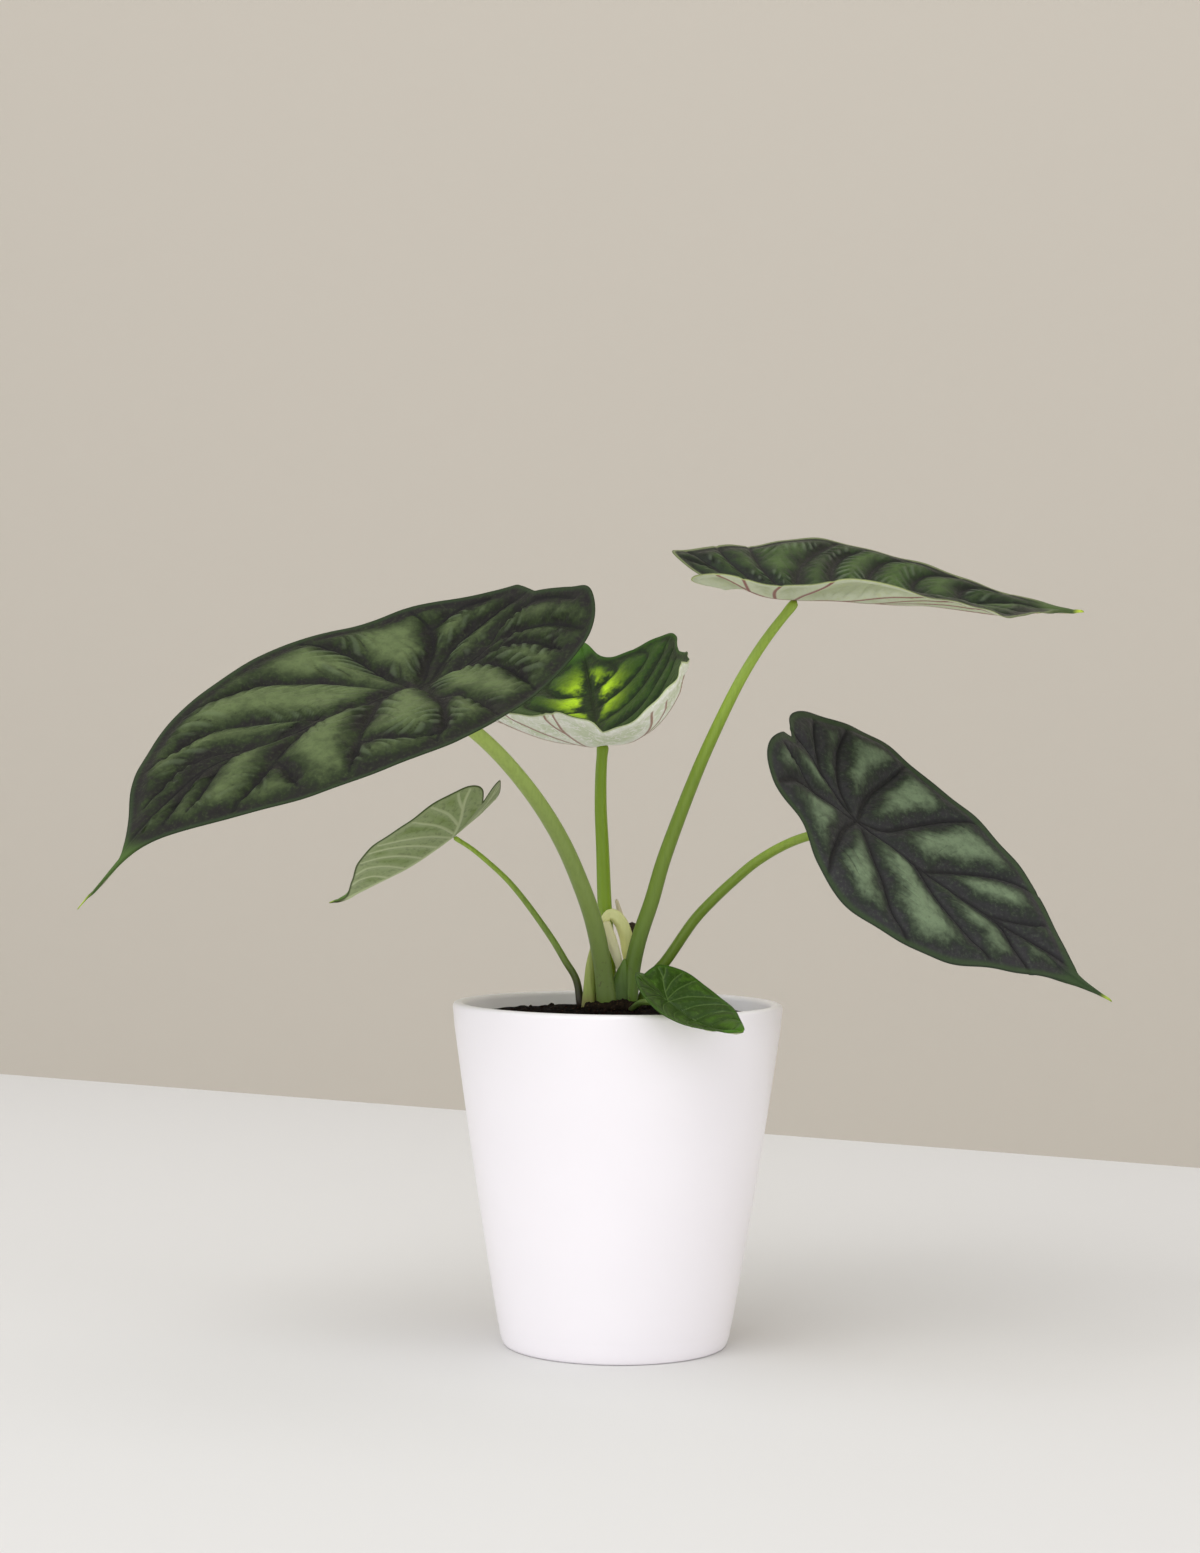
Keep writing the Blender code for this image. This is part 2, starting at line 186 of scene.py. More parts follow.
# %% [markdown]
# ## The leaves
# Each blade is given by where its stalk meets it, the run of its midrib, how far it reaches, and
# how its halves cup. These are the growth habits of the six leaves, oldest to youngest.

# %% Leaf table
FRONT_STATIONS = (0.80, 0.58, 0.33, 0.08)
LOBE_STATIONS = (-0.35, -0.72, -0.97, -0.97)
FULL_SHAPE = (0.05, 0.40, 0.76, 0.96, 1.0, 0.94, 0.74, 0.44, 0.20)
SPINE_STEPS = 160

LEAVES = {
    "left_leaf": dict(
        place=(-76.2, -58.5, 254.6), heading=213.7, pitch=-10.5, roll=-3,
        front=136.0, tip=28.0, back=70.8, half=66.4, notch=0.93,
        bend_front=-23, bend_back=82, sweep=7, twist=-6, rise=(-3, -2), cup=(-14, 59),
        cup_gain=(0.17, -0.60),
        shape=((0.05, 0.42, 0.77, 0.97, 0.99, 0.81, 0.76, 0.55, 0.34),
               (0.04, 0.42, 0.75, 0.94, 1.02, 0.99, 0.77, 0.30, 0.24))),
    "centre_leaf": dict(
        place=(-6.9, 13.6, 236.7), heading=94.8, pitch=13.6, roll=-23.4,
        front=93.0, tip=8.0, back=55.4, half=52.4, notch=0.85,
        bend_front=27.3, bend_back=73, sweep=-9, twist=-34.7, rise=(21.9, -7.2), cup=(57, 117.3),
        cup_gain=(0.32, -1.37),
        shape=((0.07, 0.41, 0.76, 0.96, 1.01, 0.94, 0.51, 0.34, 0.10),
               (0.06, 0.22, 0.84, 0.87, 0.98, 0.96, 0.89, 0.52, 0.20))),
    "top_leaf": dict(
        place=(68.4, -11.7, 293.0), heading=16.9, pitch=-0.2, roll=20.6,
        front=113.1, tip=12.0, back=47.5, half=55.8, notch=0.69,
        bend_front=-1.5, bend_back=33.2, sweep=1.5, twist=1.65, rise=(10.7, 14.5),
        cup=(-7.7, 34.8), cup_gain=(0.41, -1.7),
        shape=((0.05, 0.32, 0.70, 1.04, 0.98, 0.81, 0.63, 0.49, 0.38),
               (0.05, 0.39, 0.79, 1.03, 1.09, 0.69, 0.50, 0.38, 0.06))),
    "right_leaf": dict(
        place=(90.4, -39.3, 206.0), heading=-9, pitch=-37.5, roll=19.3,
        front=99.8, tip=16.0, back=48.8, half=51.1, notch=0.86,
        bend_front=6.7, bend_back=73.6, sweep=-3.4, twist=14, rise=(2.7, 2.9), cup=(38, -34),
        cup_gain=(0, 0),
        shape=((0.06, 0.41, 0.73, 0.95, 1.01, 1.10, 0.81, 0.40, 0.16),
               (0.05, 0.40, 0.76, 0.98, 0.99, 0.72, 0.74, 0.53, 0.27))),
    "low_leaf": dict(
        place=(-66.7, 20.4, 198.7), heading=146, pitch=-33, roll=-5,
        front=59.0, tip=10.0, back=28.5, half=28.1, notch=0.72,
        bend_front=24, bend_back=85, sweep=2, twist=8, rise=(17, 17), cup=(0, 0),
        cup_gain=(0, 0), shape=(FULL_SHAPE, FULL_SHAPE)),
    "rim_leaf": dict(
        place=(18.3, -60.0, 139.3), heading=-33, pitch=-37.5, roll=12,
        front=36.8, tip=1.2, back=15.2, half=17.2, notch=0.93,
        bend_front=127, bend_back=101, sweep=-18, twist=13, rise=(17, 18), cup=(0, 0),
        cup_gain=(0, 0), shape=((0.12, 0.50, 0.82) + FULL_SHAPE[3:],) * 2),
}


def leaf_axes(leaf):
    """Unit vectors at the stalk's place: along the midrib, to the left, and up out of the blade."""
    heading, pitch = math.radians(leaf["heading"]), math.radians(leaf["pitch"])
    along = Vector((math.cos(heading) * math.cos(pitch), math.sin(heading) * math.cos(pitch),
                    math.sin(pitch)))
    left = Vector((-math.sin(heading), math.cos(heading), 0.0))
    left = Matrix.Rotation(math.radians(leaf["roll"]), 3, along) @ left
    return np.array([along, left, along.cross(left)])


def midrib(leaf, u):
    """Places and directions on the midrib at distances u from the stalk, in the leaf's axes."""
    reach = max(leaf["front"] + leaf["tip"], leaf["back"])
    g = np.linspace(-reach, reach, SPINE_STEPS + 1)
    bend = np.radians(np.where(g > 0, leaf["bend_front"], leaf["bend_back"]) * g / 100)
    sweep = np.radians(leaf["sweep"] * g / 100)
    tangent = np.stack([np.cos(bend) * np.cos(sweep), np.cos(bend) * np.sin(sweep),
                        np.sin(bend)], axis=1)
    step = (tangent[1:] + tangent[:-1]) / 2 * (g[1] - g[0])
    place = np.vstack([np.zeros(3), np.cumsum(step, axis=0)])
    place -= place[SPINE_STEPS // 2]
    pick = [np.stack([np.interp(u, g, array[:, k]) for k in range(3)], axis=-1)
            for array in (place, tangent)]
    return pick[0], pick[1] / np.linalg.norm(pick[1], axis=-1, keepdims=True)


def blade_points(leaf, u, v):
    """Points of the blade's middle surface at u along the midrib and v to the left of it."""
    place, along = midrib(leaf, u)
    across = np.cross((0.0, 0.0, 1.0), along)
    across /= np.linalg.norm(across, axis=-1, keepdims=True)
    up = np.cross(along, across)
    twist = np.radians(leaf["twist"] * u / 100)[..., None]
    across, up = (across * np.cos(twist) + up * np.sin(twist),
                  up * np.cos(twist) - across * np.sin(twist))
    side = np.where(v >= 0, 0, 1)
    start = np.radians(np.array(leaf["rise"], float)[side])
    gain = 1 + np.array(leaf["cup_gain"], float)[side] * u / 100
    curve = np.radians(np.array(leaf["cup"], float)[side]) / 100 * gain
    curve = np.where(np.abs(curve) < 1e-6, 1e-6, curve)
    reach = np.abs(v)
    out = (np.sin(start + curve * reach) - np.sin(start)) / curve * np.sign(v)
    lift = (np.cos(start) - np.cos(start + curve * reach)) / curve
    local = place + across * out[..., None] + up * lift[..., None]
    return np.array(leaf["place"]) + local @ leaf_axes(leaf)


def half_outline(leaf, side, count=400):
    """(u, v) from drip tip to notch along one side; side 0 is left and 1 is right."""
    neck, *widths = leaf["shape"][side]
    front, tip, back, half = leaf["front"], leaf["tip"], leaf["back"], leaf["half"]
    knots = [(front + tip, 0.0), (front + tip / 2, neck * half / 4), (front, neck * half)]
    knots += [(s * front if s > 0.1 else s * (front + tip), w * half)
              for s, w in zip(FRONT_STATIONS, widths)]
    knots += [(s * back, w * half) for s, w in zip(LOBE_STATIONS, widths[4:])]
    knots.append((-leaf["notch"] * back, 0.0))
    return smooth_path(knots, count)


def outline(leaf, count):
    """The whole margin from drip tip over the left side, the notch and the right side."""
    left, right = half_outline(leaf, 0), half_outline(leaf, 1)
    right[:, 1] *= -1
    return evenly(np.vstack([left, right[-2::-1]]), count)


print("leaves:", ", ".join(LEAVES))

# %% [markdown]
# Veins shape everything on such a leaf: they lie sunk in the blade, and the flesh between them
# stands up in pillows. A vein is a route over the flat blade with its half-widths. Two leaves show
# their top fully, so their veins follow the ones that can be seen there; the others get the habit
# of the species: a midrib, one rib into each rear lobe, and side veins that lean forward.

# %% Vein routes
VEINS = {
    "left_leaf": [
        ((0, 0), (17, 4), (42, 5), (59, 3), (73, -4), (88, -8), (106, -7), (126, -3), (156, 0)),
        ((0, 0), (-27, -22), (-44, -26), (-58, -20), (-66, -8)),
        ((0, 0), (-20, -5), (-36, -6), (-47, 5), (-52, 25), (-52, 45)),
        ((-1, -2), (-2, -29), (-1, -46), (5, -57), (13, -66)),
        ((7, 2), (13, -20), (27, -38), (42, -50), (66, -51)),
        ((42, 5), (51, -10), (64, -28), (76, -33), (98, -30)),
        ((66, 0), (78, -12), (93, -17), (116, -12)),
        ((-4, -6), (-20, -24), (-31, -35), (-38, -46), (-40, -58)),
        ((-37, -43), (-53, -40), (-61, -30)),
        ((-40, -9), (-50, -10), (-60, -2), (-64, 16), (-64, 30)),
        ((-18, -5), (-26, 2), (-27, 19), (-24, 36), (-19, 52)),
        ((-28, -4), (-38, 8), (-42, 23), (-40, 44)),
        ((0, 0), (5, 20), (12, 37), (24, 54), (34, 61)),
        ((6, 26), (0, 34), (0, 46), (3, 60)),
        ((19, 5), (35, 21), (46, 31), (55, 40), (68, 50)),
        ((51, 37), (45, 45), (38, 53), (29, 58)),
        ((46, 5), (59, 10), (72, 15), (85, 21), (106, 26)),
        ((76, 17), (79, 28), (84, 38)),
        ((72, -4), (84, -4), (97, 3), (114, 11)),
        ((90, -8), (103, -3), (122, 6)),
    ],
    "right_leaf": [
        ((0, 0), (20, 0), (44, 1), (65, 2), (91, 4), (112, 1)),
        ((0, 0), (-18, 6), (-33, 7), (-44, 4)),
        ((0, 0), (-17, -8), (-28, -18), (-33, -34)),
        ((0, 1), (9, 7), (17, 23), (26, 38), (35, 46)),
        ((31, 1), (39, 12), (50, 22), (60, 27), (71, 29)),
        ((60, 2), (70, 8), (79, 15)),
        ((-1, 2), (-4, 20), (-3, 36), (-1, 50)),
        ((-5, 3), (-16, 13), (-24, 27), (-30, 44)),
        ((-24, 7), (-34, 18), (-41, 28)),
        ((-1, -1), (-2, -14), (1, -34), (5, -47)),
        ((3, -3), (12, -16), (21, -25), (32, -38), (43, -44)),
        ((26, 1), (43, -12), (56, -18), (70, -23)),
        ((48, 1), (65, 1), (75, -7), (86, -14)),
        ((-20, -10), (-34, -10), (-43, -16)),
    ],
}


def usual_veins(leaf, pairs):
    """Midrib, two rear ribs, and pairs of side veins on a blade of this outline."""
    front, back, half = leaf["front"], leaf["back"], leaf["half"]
    routes = [((0, 0), (front * 0.5, 0), (front + leaf["tip"] * 0.6, 0))]
    for side in (1, -1):
        edge = half_outline(leaf, 0 if side > 0 else 1)
        ahead = edge[:np.argmin(np.abs(edge[:, 0]))]

        def margin_at(u):
            return np.interp(-u, -ahead[:, 0], ahead[:, 1])

        routes.append(((0, 0), (-back * 0.35, side * half * 0.17),
                       (-back * 0.66, side * half * 0.34), (-back * 0.92, side * half * 0.40)))
        for k in range(pairs):
            start = front * (0.01 + 0.78 * (k / pairs) ** 1.1)
            lean = front * (0.30 - 0.08 * k / pairs)
            reach = [side * margin_at(start + lean * t ** 1.6) * (t ** 0.8) * 0.93
                     for t in (0.35, 0.7, 1.0)]
            routes.append(((start, 0), (start + lean * 0.19, reach[0]),
                           (start + lean * 0.56, reach[1]), (start + lean, reach[2])))
        routes.append(((-back * 0.06, side * half * 0.04), (-back * 0.14, side * half * 0.42),
                       (-back * 0.10, side * half * 0.92)))
        routes.append(((-back * 0.25, side * half * 0.13), (-back * 0.42, side * half * 0.48),
                       (-back * 0.48, side * half * 0.84)))
        routes.append(((-back * 0.55, side * half * 0.28), (-back * 0.70, side * half * 0.46),
                       (-back * 0.82, side * half * 0.56)))
    return routes


def veins_of(name):
    leaf = LEAVES[name]
    if name in VEINS:
        return VEINS[name]
    return usual_veins(leaf, {"low_leaf": 5, "rim_leaf": 4}.get(name, 5))


def vein_fields(leaf, routes, u, v):
    """For each (u, v): eased gap to the nearest vein, bare distance to it, the distance along it,
    and how clearly it is the nearest one."""
    points = np.stack([u, v], 1)
    gaps, bare, course = [], [], []
    size = leaf["half"] / 50
    for k, route in enumerate(routes):
        line = smooth_path([p[:2] for p in route], 30)
        run = np.concatenate([[0], np.cumsum(np.linalg.norm(np.diff(line, axis=0), axis=1))])
        start, step = line[:-1], np.diff(line, axis=0)
        reach = (step ** 2).sum(1)
        best = np.full(len(points), 1e9)
        where = np.zeros(len(points))
        for a, s, r, run_a in zip(start, step, reach, run):
            t = np.clip(((points - a) @ s) / r, 0, 1)
            d = np.hypot(*(points - a - t[:, None] * s).T)
            nearer = d < best
            best = np.where(nearer, d, best)
            where = np.where(nearer, run_a + t * math.sqrt(r), where)
        share = where / run[-1]
        wide, fine = (1.5, 0.5) if k < 3 else (0.9, 0.2)
        width = (wide + (fine - wide) * share) * size
        gaps.append(best - width + 2.2 * size * ease(share, 0.82, 1.0) * (k > 2))
        bare.append(best)
        course.append(where + 37 * k)
    gaps, bare, course = np.array(gaps), np.array(bare), np.array(course)
    soft = 1.1 * size
    eased = -soft * np.log(np.exp(-np.clip(gaps, -6, 60) / soft).sum(0))
    order = np.argsort(gaps, axis=0)
    nearest = order[0]
    pick = np.arange(len(points))
    lead = gaps[order[1], pick] - gaps[nearest, pick]
    return np.maximum(eased, 0), bare[nearest, pick], course[nearest, pick], lead


def edge_distance(leaf, u, v):
    """Distance in from the margin on the flat blade, and the run along the margin."""
    rim = outline(leaf, 400)
    points = np.stack([u, v], 1)
    best = np.full(len(points), 1e9)
    where = np.zeros(len(points))
    step = np.diff(rim, axis=0)
    for k, (a, s) in enumerate(zip(rim[:-1], step)):
        r = (s ** 2).sum()
        t = np.clip(((points - a) @ s) / r, 0, 1)
        d = np.hypot(*(points - a - t[:, None] * s).T)
        nearer = d < best
        best = np.where(nearer, d, best)
        where = np.where(nearer, k + t, where)
    return best, where / 399


print("veins:", {name: len(veins_of(name)) for name in LEAVES})

# %% [markdown]
# A blade is cut as a flat disc of grid rings round the stalk's place, thickened while flat, and
# then bent: the top and the underside take the same pillows, and the underside's veins stand out
# as ribs. The same fields are kept as attributes, so that colour and relief agree.

# %% Build a blade
HABIT = dict(
    left_leaf=dict(cells=(480, 82), pillow=5.0, reach=7.0, pleat=(5.6, 0.6), wave=(0.4, 7),
                   rib=0.5),
    centre_leaf=dict(cells=(440, 66), pillow=1.7, reach=5.0, pleat=(4.4, 0.15), wave=(0.3, 13),
                     rib=0.4, curl=0.9, frill=1.2),
    top_leaf=dict(cells=(480, 74), pillow=2.9, reach=5.5, pleat=(5.2, 0.5), wave=(0.5, 9),
                  rib=0.35),
    right_leaf=dict(cells=(440, 70), pillow=4.2, reach=6.5, pleat=(5.6, 0.3), wave=(0.6, 8),
                    rib=0.5),
    low_leaf=dict(cells=(300, 42), pillow=0.9, reach=4.0, pleat=(2.4, 0.06), wave=(0.3, 6),
                  rib=0.3),
    rim_leaf=dict(cells=(240, 36), pillow=0.8, reach=4.0, pleat=(1.8, 0.05), wave=(0.06, 5),
                  rib=0.2),
)
BLADE_THICKNESS = 0.55


def build_blade(name, materials):
    leaf, habit = LEAVES[name], HABIT[name]
    around, rings = habit["cells"]
    rim = outline(leaf, around + 1)
    edit = unit_sheet(around, rings)

    def to_disc(x, y, z):
        at = x * around
        edge = np.stack([np.interp(at, np.arange(around + 1), rim[:, k]) for k in (0, 1)], 1)
        return np.column_stack([edge * (y ** 0.9)[:, None], z])

    move_all(edit, to_disc)
    bmesh.ops.remove_doubles(edit, verts=edit.verts, dist=0.002)
    bmesh.ops.recalc_face_normals(edit, faces=edit.faces)
    if sum(face.normal.z for face in edit.faces) < 0:
        bmesh.ops.reverse_faces(edit, faces=edit.faces)
    bmesh.ops.solidify(edit, geom=edit.faces[:], thickness=1.0)
    item = finish_mesh(name + "_lamina", edit, materials, name + "_blade")
    mesh = item.data
    count = len(mesh.vertices)
    co = np.empty(count * 3)
    mesh.vertices.foreach_get("co", co)
    co = co.reshape(-1, 3)
    u, v = co[:, 0], co[:, 1]
    top = co[:, 2] > co[:, 2].mean()

    size = leaf["half"] / 50
    gap, bare, course, lead = vein_fields(leaf, veins_of(name), u, v)
    edge, run = edge_distance(leaf, u, v)
    inner = np.maximum(edge - 2.6 * size, 0)
    soft = 1.6 * size
    field = -soft * np.log(np.exp(-gap / soft) + np.exp(-inner / soft))
    field = np.maximum(field, 0)
    tip_share = np.clip((u - leaf["front"] * 0.75) / (leaf["front"] * 0.25 + leaf["tip"]), 0, 1)
    # painted light: a spot on the midrib where the young blade is painted brighter, as light
    # shining through it
    painted_glow = np.exp(-((u / leaf["front"] - 0.55) / 0.22) ** 2 - (v / leaf["front"] / 0.15) ** 2)

    def drift(scale_mm, seed):
        return np.array([noise.noise(Vector((a / scale_mm, b / scale_mm, seed)))
                         for a, b in zip(u, v)])

    relief = habit["pillow"] * (1 - np.exp(-(field / habit["reach"]) ** 0.95))
    relief *= 1 - 0.8 * ease(tip_share, 0.1, 0.6)
    relief += drift(28, leaf["heading"]) * 1.4 * size * ease(np.hypot(u, v), 4, 30)
    # short furrows leave each vein at a slant and fade towards the next one
    spacing, depth = habit["pleat"]
    phase = math.pi * (course - 1.2 * bare) / (spacing * size) + 2.2 * drift(14, 2.0)
    round_top = np.abs(np.sin(phase)) ** 0.7
    shown = np.clip(lead / 3, 0, 1) * ease(field, 0.3, 2.0) * (1 - 0.6 * ease(field, 7, 14))
    shown *= (0.3 + 0.7 * ease(drift(20, 7.0), -0.3, 0.3)) * ease(edge, 3, 11)
    pleat = shown * (2 * round_top - 1)
    relief += depth * size * pleat
    swing, beats = habit["wave"]
    swing = swing * (1 + habit.get("frill", 0) * ease(-u, 0, 14))
    phase = 2 * math.pi * beats * run
    relief += swing * (np.sin(phase) + 0.5 * np.sin(2.3 * phase + 1)) * np.exp(-edge / 6)
    relief += habit.get("curl", 0) * np.exp(-edge / 2.5) * (1 - tip_share)
    groove = 0.45 * np.exp(-(bare / (0.7 * size)) ** 2)
    rib = habit["rib"] * np.exp(-(bare / (0.9 * size)) ** 2)
    thin = BLADE_THICKNESS * (0.45 + 0.55 * ease(edge, 0, 2))
    thin += (0.9 - 0.7 * ease(tip_share, 0.6, 1)) * ease(tip_share, 0.4, 0.6)

    step = 0.25
    here = blade_points(leaf, u, v)
    ahead = blade_points(leaf, u + step, v) - blade_points(leaf, u - step, v)
    aside = blade_points(leaf, u, v + step) - blade_points(leaf, u, v - step)
    normal = np.cross(ahead, aside)
    normal /= np.linalg.norm(normal, axis=1, keepdims=True)
    lift = np.where(top, relief - groove + thin / 2, relief - rib - thin / 2)
    place = (here + normal * lift[:, None]) * MM
    mesh.vertices.foreach_set("co", place.ravel())

    flags = np.zeros(len(mesh.polygons), dtype=np.int32)
    for face in mesh.polygons:
        flags[face.index] = 0 if any(top[k] for k in face.vertices) else 1
    mesh.polygons.foreach_set("material_index", flags)
    for label, values in (("field", field), ("bare", bare), ("margin", edge), ("pleat", pleat),
                          ("tip", tip_share), ("painted_glow", painted_glow)):
        mesh.attributes.new(label, "FLOAT", "POINT").data.foreach_set(
            "value", np.asarray(values, dtype=np.float32))
    mesh.update()
    print(name, "blade:", len(mesh.polygons), "faces")
    return item


# %% [markdown]
# The lamina is satin, nearly leathery. Along the veins it is a dull violet grey, between them the
# pillows turn silvery green, and a band of plainer green runs along the margin out to the drip
# tip. Fine furrows cross from vein to vein; painted shade darkens their valleys, and on two leaves
# a painted highlight lightens their backs. The young centre leaf's bright lime is partly its own
# green, partly a painted glow of light shining through it. The underside is pale, with coloured
# ribs.

# %% Leaf materials
def lamina(name, vein, dark, light, margin, drip, deep="1B1A1B", zone=(0.0, 5.0, 2.0, 13.0),
           rough=0.5, gloss=0.2, band=2.2, line=(1.1, 0.3, 0.7), crease=0.45, crest=None,
           tail=None, painted_glow=0.0):
    """Living leaf skin seen from above, speckled like its pores and hairs. zone: from where to
    where the vein's colour gives way to the dark green, and the dark green to the light, in mm
    from a vein. line: width and strength of the vein's own line. crease: how much
    painted shade darkens the furrows' valleys. crest: the colour of a painted highlight on the
    pleats' backs. tail: the drip tip's green. painted_glow: how much the light green keeps to a
    painted spot of light shining through the middle of the blade."""
    material, tree, shader = new_material(name)
    field, edge, bare, tip, pleat = [attribute(tree, label) for label in
                                     ("field", "margin", "bare", "tip", "pleat")]
    cells = grain(tree, 2.2, 5, 0.6)
    patchy = maths(tree, "ADD", field, remap(tree, grain(tree, 13.0, 4), 0.3, 0.7, -2.0, 2.0))
    patchy = maths(tree, "ADD", patchy, remap(tree, cells, 0.3, 0.7, -0.8, 0.8))
    colour = blend(tree, remap(tree, patchy, zone[0], zone[1]), vein, dark)
    lit = remap(tree, patchy, zone[2], zone[3])
    # painted light: the light green kept to that spot, as a glow of light through the thin young
    # blade
    if painted_glow:
        keep = remap(tree, attribute(tree, "painted_glow"), 0.0, 0.9, 1 - painted_glow, 1.0)
        lit = maths(tree, "MULTIPLY", lit, keep)
    colour = blend(tree, lit, colour, light)
    colour = blend(tree, remap(tree, grain(tree, 5.0, 4), 0.4, 0.75, 0.0, 0.4), colour, dark)
    specks = grain(tree, 1.3, 4, 0.7)
    colour = blend(tree, remap(tree, specks, 0.5, 0.75, 0.0, 0.05 if painted_glow else 0.22), colour,
                   light)
    colour = blend(tree, remap(tree, specks, 0.5, 0.25, 0.0, 0.30), colour, deep)
    # painted shade: the furrows' valleys are darkened towards the deep colour, as shade falling
    # between the pleats
    colour = blend(tree, remap(tree, pleat, 0.0, -0.9, 0.0, crease), colour, deep)
    # painted highlight: the pleats' backs are lightened towards the crest colour, as a sheen where
    # light catches them
    if crest:
        colour = blend(tree, remap(tree, pleat, 0.35, 0.95, 0.0, 0.28), colour, crest)
    colour = blend(tree, remap(tree, bare, line[0], line[1], 0.0, line[2]), colour, deep)
    # the margin's plain green, and a darker line at its very edge
    colour = blend(tree, remap(tree, edge, band + 1.6, band - 0.6, 0.0, 0.75), colour, margin)
    colour = blend(tree, remap(tree, edge, 0.9, 0.3, 0.0, 0.6), colour, dark)
    colour = blend(tree, remap(tree, tip, 0.42, 0.62), colour, tail or margin)
    colour = blend(tree, remap(tree, tip, 0.86, 0.96), colour, drip)
    tree.links.new(colour, shader.inputs["Base Color"])
    shader.inputs["Specular IOR Level"].default_value = gloss
    tree.links.new(remap(tree, cells, 0.3, 0.7, rough - 0.05, rough + 0.08),
                   shader.inputs["Roughness"])
    tree.links.new(bump(tree, cells, 0.2), shader.inputs["Normal"])
    return material


def underside(name, flesh, pale, rib, edge_colour, rough=0.55, crinkle=0.12, fold_mm=2.0,
              lines=0.0):
    """The back of a blade: matt, paler, its ribs in their own colour. lines: strength of the
    white crinkles of a leaf that has only just unrolled."""
    material, tree, shader = new_material(name)
    field, edge, bare = [attribute(tree, label) for label in ("field", "margin", "bare")]
    folds = grain(tree, fold_mm, 5, 0.6)
    patch = maths(tree, "ADD", field, remap(tree, grain(tree, 11.0, 4), 0.3, 0.7, -2, 2))
    colour = blend(tree, remap(tree, patch, 0.5, 6.0), pale, flesh)
    colour = blend(tree, remap(tree, folds, 0.5, 0.35, 0.0, 0.3), colour, edge_colour)
    if lines:
        wander = grain(tree, fold_mm * 0.9, 3, 0.5)
        crest = maths(tree, "ABSOLUTE", maths(tree, "SUBTRACT", wander, 0.5), 0.0)
        colour = blend(tree, remap(tree, crest, 0.05, 0.01, 0.0, lines), colour, "FCFCF4")
    colour = blend(tree, remap(tree, bare, 1.0, 0.35, 0.0, 0.85), colour, rib)
    colour = blend(tree, remap(tree, edge, 1.0, 0.3), colour, edge_colour)
    tree.links.new(colour, shader.inputs["Base Color"])
    shader.inputs["Specular IOR Level"].default_value = 0.3
    shader.inputs["Roughness"].default_value = rough
    tree.links.new(bump(tree, folds, crinkle), shader.inputs["Normal"])
    return material


# old_top's crest colour is a painted highlight on its pleats' backs
old_top = lamina("living leaf, satin dark green", "262423", "2A3320", "5E6C46", "33432A",
                 "A9C04A", crease=0.75, zone=(0.0, 3.5, 1.5, 11.0), gloss=0.06, band=1.0,
                 tail="4A6132", crest="68765A")
silver_top = lamina("living leaf, silver green", "323133", "232A21", "6E7F63", "36472C", "A3B84A",
                    zone=(0.5, 5.0, 2.6, 11.0), rough=0.5, crease=0.5, line=(1.7, 0.2, 0.75),
                    gloss=0.12)
# grey_top's crest colour is a painted highlight on its pleats' backs; the rest of its grey sheen is
# real gloss
grey_top = lamina("living leaf, dark green with grey sheen", "171B14", "1E2B17", "445A2C", "B4C184",
                  "BCD04A", zone=(0.0, 3.0, 1.0, 9.0), gloss=0.16, rough=0.42, band=0.3,
                  crease=0.5, crest="76846C", tail="4A5C34")
# the bright lime is partly the young leaf's own lighter green, partly a painted glow of light
# shining through it
young_top = lamina("young leaf, thin and bright", "18260B", "24400E", "BCE61E", "365A14", "B0D23A",
                   deep="16220A", zone=(0.0, 3.0, 0.4, 5.0), rough=0.42, painted_glow=0.985, band=0.6,
                   crease=0.45, gloss=0.12)
glossy_top = lamina("young leaf, glossy", "28420A", "253B08", "3E6012", "3E6614", "547A22",
                    deep="74904E", zone=(0.0, 1.2, 0.5, 4.0), rough=0.34, gloss=0.16, band=0.6,
                    line=(0.40, 0.10, 0.4), crease=0.04)
low_top = lamina("small leaf, dull green", "48592F", "425A2A", "64803F", "52702F", "9AB04A",
                 deep="34441F", zone=(0.0, 1.5, 0.5, 4.0), band=0.8)
old_back = underside("leaf underside, sage green", "7F9468", "A3B088", "6B4A40", "4A6B33")
young_back = underside("young leaf underside, milky green", "D6DFC0", "EEF1E2", "96604F",
                       "C2CC9C", crinkle=0.7, fold_mm=4.5, lines=0.9)
pale_back = underside("leaf underside, pale green", "BFC8A2", "D6DDC0", "8A2F38", "C6D08C",
                      crinkle=0.25)
low_back = underside("small leaf underside, soft green", "7E9353", "97A676", "B9C498", "465225")

SKINS = dict(left_leaf=(old_top, old_back), centre_leaf=(young_top, young_back),
             top_leaf=(grey_top, pale_back), right_leaf=(silver_top, old_back),
             low_leaf=(low_top, low_back), rim_leaf=(glossy_top, low_back))
for name in LEAVES:
    build_blade(name, SKINS[name])
